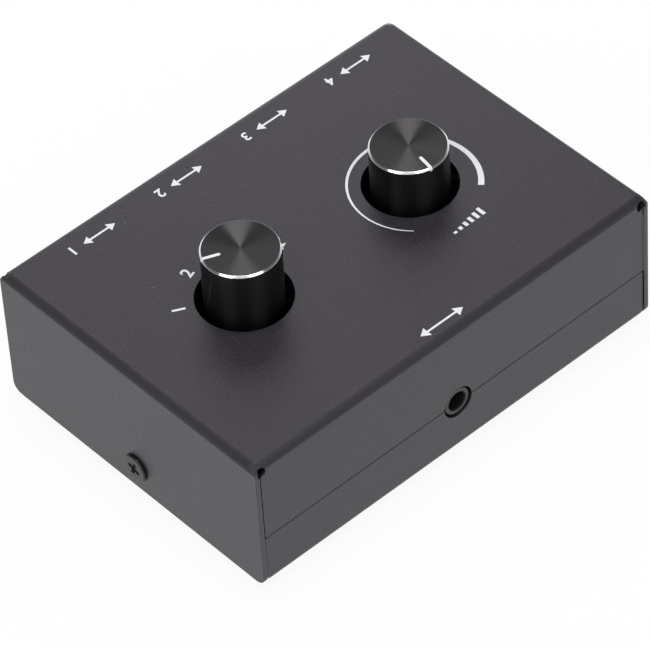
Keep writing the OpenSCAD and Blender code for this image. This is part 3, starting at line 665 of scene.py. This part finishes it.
# %% Pointer lines
POINTER_W = 0.62 * MM
POINTER_IN = 3.6 * MM
POINTER_DROP = 0.75 * MM
PAINT = 0.025 * MM
ROOT = 0.05 * MM
TIP_STEPS = 8
TIP_FIRST = 4
EDGE_STEP = 0.08 * MM
SIDE_STEP = 0.1 * MM
POINTER_ANGLES = {"selector": 157.5, "volume": -99.5}


def pointer_stations():
    """Radius, height, half width and outward direction along a pointer, over the knob's top edge."""
    half = POINTER_W / 2
    lean = math.radians(45)
    up, out = Vector((0, 1)), Vector((1, 0))
    slant = Vector((math.sin(lean), math.cos(lean)))
    edge = KNOB_R - KNOB_BEVEL
    stations = []
    for step in range(TIP_STEPS + 1):
        t = math.radians(TIP_FIRST + (90 - TIP_FIRST) * step / TIP_STEPS)
        r = POINTER_IN + half - half * math.cos(t)
        stations.append((r, KNOB_H - KNOB_DISH * (1 - r / edge), half * math.sin(t), up))
    stations.append((edge, KNOB_H, half, (up * 2 + slant).normalized()))
    stations.append((edge + EDGE_STEP, KNOB_H - EDGE_STEP, half, slant))
    stations.append((KNOB_R - SIDE_STEP, KNOB_H - KNOB_BEVEL + SIDE_STEP, half, slant))
    stations.append((KNOB_R, KNOB_H - KNOB_BEVEL, half, (out * 2 + slant).normalized()))
    stations.append((KNOB_R, KNOB_H - POINTER_DROP + half * 0.5, half, out))
    stations.append((KNOB_R, KNOB_H - POINTER_DROP + half * 0.1, half * 0.8, out))
    stations.append((KNOB_R, KNOB_H - POINTER_DROP, half * 0.5, out))
    return stations


def pointer_mesh(name, foot, angle):
    turn = math.radians(angle)
    along = Vector((math.cos(turn), math.sin(turn), 0))
    across = Vector((-math.sin(turn), math.cos(turn), 0))
    bm = bmesh.new()
    rings = []
    for r, z, half, out in pointer_stations():
        ring = []
        for side, layer in ((-1, PAINT), (1, PAINT), (1, -ROOT), (-1, -ROOT)):
            level = foot + along * (r + out.x * layer) + across * side * half
            ring.append(bm.verts.new(level + Vector((0, 0, z + out.y * layer))))
        rings.append(ring)
    for one, two in zip(rings, rings[1:]):
        for i in range(4):
            j = (i + 1) % 4
            bm.faces.new((one[i], one[j], two[j], two[i]))
    bm.faces.new(rings[0])
    bm.faces.new(rings[-1])
    bmesh.ops.recalc_face_normals(bm, faces=bm.faces)
    return meshed(name, bm, INK)


for control, foot in KNOB_FEET.items():
    line = pointer_mesh(control + "_line", foot, POINTER_ANGLES[control])
    keep(control + "_line", line, control, [control + "_pointer"])


# %% [markdown]
# ## Geometry Nodes in code
# What repeats or follows a rule is grown by Geometry Nodes. The tree is built here, its sizes are named
# inputs of the modifier, and the result is turned into a plain mesh at once, because only plain meshes
# are kept.


# %% A tree that grows a mesh
class Recipe(Sketch):
    """A Geometry Nodes tree with named sizes, ending in one mesh of one finish."""

    def __init__(self, name, **sizes):
        super().__init__(bpy.data.node_groups.new(name, "GeometryNodeTree"))
        sockets = self.tree.interface
        sockets.new_socket("Mesh", in_out="OUTPUT", socket_type="NodeSocketGeometry")
        self.sizes = {}
        for label, size in sizes.items():
            socket = sockets.new_socket(label, in_out="INPUT", socket_type="NodeSocketFloat")
            self.sizes[socket.identifier] = size
        given = self.tree.nodes.new("NodeGroupInput")
        self.size = {label: Value(self, given.outputs[label]) for label in sizes}

    def place(self):
        return self.split(self.node("GeometryNodeInputPosition"))

    def moved(self, geometry, x, y, z):
        spot = self.join(x, y, z)
        return self.node("GeometryNodeSetPosition", {}, {"Geometry": geometry, "Position": spot})

    def bake(self, geometry, finish):
        """Ends the tree, runs it once and gives its mesh."""
        whole = self.node("GeometryNodeRealizeInstances", {}, {0: geometry})
        dressed = self.node("GeometryNodeSetMaterial", {}, {"Geometry": whole, "Material": finish.material})
        self.node("NodeGroupOutput", {}, {0: dressed})
        holder = linked(self.tree.name, bpy.data.meshes.new(self.tree.name))
        modifier = holder.modifiers.new("recipe", "NODES")
        modifier.node_group = self.tree
        for identifier, size in self.sizes.items():
            modifier[identifier] = size
        return evaluated_mesh(holder)


# %% [markdown]
# ## Feet
# Four stick-on rubber feet, all alike: one is a cylinder whose radius shrinks towards the floor, and a
# grid of two by two points sets them under the corners.

# %% Feet
FEET_LOW, FEET_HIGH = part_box("rubber_feet")
FOOT_R = 4 * MM
FOOT_EDGE = 0.4 * MM


def feet():
    foot = Recipe(
        "feet", Radius=FOOT_R, Height=FEET_HIGH.z - FEET_LOW.z, Edge=FOOT_EDGE,
        Length=FEET_HIGH.x - FEET_LOW.x - 2 * FOOT_R, Depth=FEET_HIGH.y - FEET_LOW.y - 2 * FOOT_R,
    )
    size = foot.size
    drum = foot.node(
        "GeometryNodeMeshCylinder", {"fill_type": "NGON"},
        {"Vertices": 64, "Side Segments": 12, "Radius": 1.0, "Depth": 1.0},
    )
    x, y, z = foot.place()
    rise = (z + 0.5) ** 2.0 * size["Height"]
    missing = 1 - (rise / size["Edge"]).least(1.0)
    reach = size["Radius"] - size["Edge"] * (1 - (1 - missing * missing) ** 0.5)
    drum = foot.moved(drum, x * reach, y * reach, rise)
    grid = foot.node(
        "GeometryNodeMeshGrid", {},
        {"Size X": size["Length"], "Size Y": size["Depth"], "Vertices X": 2, "Vertices Y": 2},
    )
    spread = foot.node("GeometryNodeInstanceOnPoints", {}, {"Points": grid, "Instance": drum})
    return foot.bake(spread, RUBBER)


keep("feet", feet(), "case", ["rubber_feet"])

# %% [markdown]
# ## Print on the panel
# The white marks are screen print, a skin of ink about two hundredths of a millimetre thick. They are
# meshes and not a texture, so their edges stay crisp at any size: numerals from Blender's own font for
# the four positions of the selector and the four rear sockets, arrows for what goes in and out, rising
# bars for the volume, and an arc that widens towards the loud end.

# %% Ink and its level
INK_T = 0.02 * MM
INK_SUNK = 0.01 * MM
INK_WELD = 1e-7
print_mesh = bmesh.new()


def ink_level(z):
    """Height of ink on the panel for a block that runs from -0.5 to 0.5."""
    return (z + 0.5) * (INK_T + INK_SUNK) - INK_SUNK


def add_print(mesh, x=0.0, y=0.0, turn=0.0):
    """Turns a mesh drawn round the origin by degrees, lays it on the panel and adds it to the print."""
    mesh.transform(Matrix.Translation((x, y, PANEL_Z)) @ Matrix.Rotation(math.radians(turn), 4, "Z"))
    print_mesh.from_mesh(mesh)
    print("print:", mesh.name, len(mesh.polygons), "faces")
    bpy.data.meshes.remove(mesh)


print("ink from", round((PANEL_Z - INK_SUNK) / MM, 2), "to", round((PANEL_Z + INK_T) / MM, 2), "mm")

# %% Numerals
NUMERAL_H = 2.4 * MM
BOLDER = 0.02


def numeral(text, height):
    """Mesh of a numeral, centred on the origin, with its top towards +Y."""
    glyph = bpy.data.curves.new("numeral", "FONT")
    glyph.body = text
    glyph.extrude = 0.1
    glyph.offset = BOLDER
    mesh = evaluated_mesh(linked("numeral", glyph))
    places = [v.co.copy() for v in mesh.vertices]
    low = Vector([min(p[i] for p in places) for i in range(3)])
    high = Vector([max(p[i] for p in places) for i in range(3)])
    scale = height / (high.y - low.y)
    for vertex in mesh.vertices:
        flat = (vertex.co - (low + high) / 2) * scale
        vertex.co = (flat.x, flat.y, INK_T if vertex.co.z > 0 else -INK_SUNK)
    return mesh


# Each mark: numeral, degrees round the knob and millimetres from its axis.
SELECTOR_MARKS = [("1", 152, 11.6), ("2", 107, 11.6), ("3", 62, 11.6), ("4", 20, 13.0)]
for text, angle, radius in SELECTOR_MARKS:
    turn = math.radians(angle)
    spot = SELECTOR_FOOT + Vector((math.cos(turn), math.sin(turn), 0)) * radius * MM
    add_print(numeral(text, NUMERAL_H), spot.x, spot.y, angle - 90)


# %% Arrows
ARROW_HEAD = 0.75
FRONT_ARROW = (9.9 * MM, 2.2 * MM, 0.42 * MM)
FRONT_PLACE = (-0.2 * MM, -29.8 * MM)


def plate(outline):
    """Flat plate of ink with a given outline, anticlockwise."""
    bm = bmesh.new()
    low = [bm.verts.new((x, y, -INK_SUNK)) for x, y in outline]
    high = [bm.verts.new((x, y, INK_T)) for x, y in outline]
    bm.faces.new(low[::-1])
    bm.faces.new(high)
    for i in range(len(outline)):
        bm.faces.new((low[i - 1], low[i], high[i], high[i - 1]))
    return meshed("plate", bm)


def double_arrow(length, height, line):
    """Outline of an arrow with two heads, along X."""
    tip, head = length / 2, height * ARROW_HEAD
    right = [
        (tip - head, -line / 2), (tip - head, -height / 2), (tip, 0),
        (tip - head, height / 2), (tip - head, line / 2),
    ]
    return right + [(-x, -y) for x, y in right]


add_print(plate(double_arrow(*FRONT_ARROW)), *FRONT_PLACE)

# %% Marks over the rear sockets
REAR_COUNT = 4
REAR_FIRST = -29.1 * MM
REAR_PITCH = 20.2 * MM
REAR_Y = 28.05 * MM
REAR_ARROW = (7.2 * MM, 2.0 * MM, 0.4 * MM)
REAR_NUMERAL_H = 2.2 * MM
ARROW_SHIFT = 1.7 * MM
NUMERAL_SHIFT = -4.4 * MM


def rear_arrows():
    """The same arrow over each socket, on a line of points."""
    shape = linked("rear_arrow", plate(double_arrow(*REAR_ARROW)))
    row = Recipe("rear_arrows", First=REAR_FIRST, Pitch=REAR_PITCH)
    line = row.node(
        "GeometryNodeMeshLine", {},
        {"Count": REAR_COUNT, "Start Location": row.join(row.size["First"], 0.0, 0.0),
         "Offset": row.join(row.size["Pitch"], 0.0, 0.0)},
    )
    arrow = row.node("GeometryNodeObjectInfo", {}, {"Object": shape}, "Geometry")
    spread = row.node("GeometryNodeInstanceOnPoints", {}, {"Points": line, "Instance": arrow})
    mesh = row.bake(spread, INK)
    bpy.data.objects.remove(shape)
    return mesh


add_print(rear_arrows(), ARROW_SHIFT, REAR_Y)
for i in range(REAR_COUNT):
    add_print(numeral(str(i + 1), REAR_NUMERAL_H), REAR_FIRST + i * REAR_PITCH + NUMERAL_SHIFT, REAR_Y, 180)


# %% Rising bars
BARS = 6
BARS_PLACE = (16.35 * MM, -16.05 * MM)


def rising_bars():
    """Bars on a line, each taller than the last."""
    stair = Recipe("rising_bars", Pitch=1.34 * MM, Width=0.7 * MM, Low=0.5 * MM, Rise=0.29 * MM)
    size = stair.size
    block = stair.node("GeometryNodeMeshCube", {}, {"Size": (1.0, 1.0, 1.0)})
    x, y, z = stair.place()
    block = stair.moved(block, x * size["Width"], y + 0.5, ink_level(z))
    step = stair.join(size["Pitch"], 0.0, 0.0)
    line = stair.node("GeometryNodeMeshLine", {}, {"Count": BARS, "Offset": step})
    height = size["Low"] + stair.node("GeometryNodeInputIndex") * size["Rise"]
    spread = stair.node(
        "GeometryNodeInstanceOnPoints", {},
        {"Points": line, "Instance": block, "Scale": stair.join(1.0, height, 1.0)},
    )
    return stair.bake(spread, INK)


add_print(rising_bars(), *BARS_PLACE)

# %% Volume arc
ARC_PLACE = (19.9 * MM, -1.7 * MM)


def volume_arc():
    """A bar bent round the knob: its outer edge is a circle, and it grows inwards along the way."""
    arc = Recipe(
        "volume_arc", Radius=12.17 * MM, Start=math.radians(-134), Sweep=math.radians(-274.4),
        Thin=0.16 * MM, Thick=1.1 * MM,
    )
    size = arc.size
    bar = arc.node("GeometryNodeMeshCube", {}, {"Size": (1.0, 1.0, 1.0), "Vertices X": 161})
    x, y, z = arc.place()
    share = x + 0.5
    angle = size["Start"] + share * size["Sweep"]
    radius = size["Radius"] - (0.5 - y) * (size["Thin"] + share * (size["Thick"] - size["Thin"]))
    bent = arc.moved(bar, radius * angle.cos(), radius * angle.sin(), ink_level(z))
    return arc.bake(bent, INK)


add_print(volume_arc(), *ARC_PLACE)

# %% One piece of print
bmesh.ops.remove_doubles(print_mesh, verts=print_mesh.verts, dist=INK_WELD)
bmesh.ops.recalc_face_normals(print_mesh, faces=print_mesh.faces)
for face in print_mesh.faces:
    face.material_index = 0
keep("panel_print", meshed("panel_print", print_mesh, INK), "case")

# %% [markdown]
# ## Carried nodes
# What lies inside the case keeps the frame's own solids, and only changes its material.

# %% Finish the nodes that stay
stay = [node for node in frame["nodes"].values() if not node.hide_render]
for node in stay:
    slot = node.data.materials[0].name.split(".")[0]
    node.material_slots[0].material = FINISHES[slot].material
print("carried nodes:", len(stay))

# %% [markdown]
# ## Stage
# The box lies on a white table. The camera and reflections see the table as plain white, and only a share
# of its real shading is left in, so that the shadow stays. Under the box reflections see the real shading
# alone, or the white would shine into the case through the slots of its floor. The lamps are softboxes:
# one on each side of the camera with a weak card between them, one overhead that draws the wedges on the
# knobs, and one low behind the box that the panel mirrors. The room is nearly white at the horizon and
# dim above it, a little less so behind the box, and that is what the bends and the bevels of the knobs
# mirror.

# %% Floor
FLOOR_HALF = 4.0
SHADOW_SHARE = 0.08
UNDER_X = (45.9 * MM, 45.4 * MM)
UNDER_Y = (32.9 * MM, 32.4 * MM)


def floor_finish():
    paper = Finish("floor_paper", Roughness=0.9, Specular_IOR_Level=0.0, Base_Color=srgb(246, 246, 246))
    rays = ("Is Camera Ray", "Is Glossy Ray", "Is Transmission Ray")
    camera_ray, glossy_ray, glass_ray = paper.node("ShaderNodeLightPath", {}, {}, rays)
    glow = paper.node("ShaderNodeEmission", {}, {"Color": (1, 1, 1, 1), "Strength": 1.0})
    shaded = Value(paper, paper.shader.outputs[0])
    x, y, _ = paper.split(paper.spot())
    under = paper.ease(x.most(0 - x), *UNDER_X) * paper.ease(y.most(0 - y), *UNDER_Y)
    share = (camera_ray + glossy_ray * (1 - under) + glass_ray) * (1 - SHADOW_SHARE)
    blend = paper.node("ShaderNodeMixShader", {}, {0: share, 1: shaded, 2: glow})
    paper.feed(paper.tree.nodes["Material Output"].inputs["Surface"], blend)
    return paper


floor_mesh = bpy.data.meshes.new("floor")
edges = ((-1, -1), (1, -1), (1, 1), (-1, 1))
floor_mesh.from_pydata([(x * FLOOR_HALF, y * FLOOR_HALF, 0) for x, y in edges], [], [(0, 1, 2, 3)])
floor_mesh.materials.append(floor_finish().material)
linked("floor", floor_mesh)
print("floor:", 2 * FLOOR_HALF, "m across")


# %% Lamps
def softbox(name, azimuth, elevation, distance, width, height, radiance, is_round=False):
    """A flat lamp that looks at the box; radiance 1 shows as white in a mirror."""
    lamp = bpy.data.lights.new(name, "AREA")
    lamp.shape = "ELLIPSE" if is_round else "RECTANGLE"
    lamp.size = width
    lamp.size_y = height
    area = width * height * (math.pi / 4 if is_round else 1)
    lamp.energy = radiance * math.pi * area
    turn, rise = math.radians(azimuth), math.radians(elevation)
    towards = Vector((math.cos(turn) * math.cos(rise), math.sin(turn) * math.cos(rise), math.sin(rise)))
    holder = linked(name, lamp)
    holder.location = towards * distance
    holder.rotation_euler = towards.to_track_quat("Z", "Y").to_euler()
    holder.visible_camera = False
    print(name, round(lamp.energy, 3), "W")


# Each lamp: degrees round and up, metres away, wide and high, and radiance.
softbox("left_softbox", 187, 42, 1.7, 0.85, 0.85, 3.4)
softbox("front_softbox", 268, 43, 1.7, 0.85, 0.85, 3.4)
softbox("fill_card", 230, 43, 1.7, 0.95, 0.6, 0.65)
softbox("top_softbox", 50, 88, 0.7, 0.37, 0.3, 8.6, is_round=True)
softbox("rear_softbox", 54, 34, 0.5, 0.33, 0.36, 1.17)

# %% Room
BEHIND = math.radians(50)
HORIZON_TOP = 0.4
HORIZON_LIGHT = 0.9
WALL_FROM, WALL_TO = 0.2, 0.6
WALL_DIM, WALL_LIGHT = 0.12, 0.18


def room():
    world = bpy.data.worlds.new("studio")
    world.use_nodes = True
    bpy.context.scene.world = world
    studio = Sketch(world.node_tree)
    x, y, z = studio.split(studio.node("ShaderNodeTexCoord", {}, {}, "Generated"))
    rear = x * math.cos(BEHIND) + y * math.sin(BEHIND)
    horizon = studio.ease(z, 0.0, HORIZON_TOP, HORIZON_LIGHT, 0.0)
    wall = studio.ease(rear, WALL_FROM, WALL_TO, WALL_DIM, WALL_LIGHT)
    light = world.node_tree.nodes["Background"]
    studio.feed(light.inputs["Strength"], horizon.most(wall))
    studio.feed(light.inputs["Color"], (1, 1, 1, 1))
    return world


print("room:", room().name)

# %% [markdown]
# ## Camera
# The camera stands where the real one stood: its angles, in radians, its distance and its long lens were
# fitted to the straight edges of the box. Azimuth turns it round the box, elevation lifts it and roll
# tilts the picture.

# %% Camera
AZIMUTH = -0.692103912
ELEVATION = 0.794735977
ROLL = -0.0695253875
DISTANCE = 896.898 * MM
FOCAL_PX = 5059.374
OFFSET = (-1.220 * MM, 4.400 * MM)
TARGET = Vector((0, 0.1, 1.5)) * MM
PICTURE = 650
SENSOR = 36.0
CLIP = (0.05, 20.0)

back = Vector((
    math.sin(AZIMUTH) * math.cos(ELEVATION),
    -math.cos(AZIMUTH) * math.cos(ELEVATION),
    math.sin(ELEVATION),
))
level = Vector((math.cos(AZIMUTH), math.sin(AZIMUTH), 0.0))
upright = back.cross(level)
right = math.cos(ROLL) * level + math.sin(ROLL) * upright
up = -math.sin(ROLL) * level + math.cos(ROLL) * upright
eye = TARGET + back * DISTANCE + right * OFFSET[0] + up * OFFSET[1]
lens = bpy.data.cameras.new("camera")
lens.sensor_width = SENSOR
lens.lens = FOCAL_PX / PICTURE * SENSOR
lens.clip_start, lens.clip_end = CLIP
camera = linked("camera", lens)
camera.matrix_world = Matrix.Translation(eye) @ Matrix((right, up, back)).transposed().to_4x4()
bpy.context.scene.camera = camera
print("camera at", [round(c, 3) for c in eye])

# %% Colour
bpy.context.scene.view_settings.view_transform = "Standard"
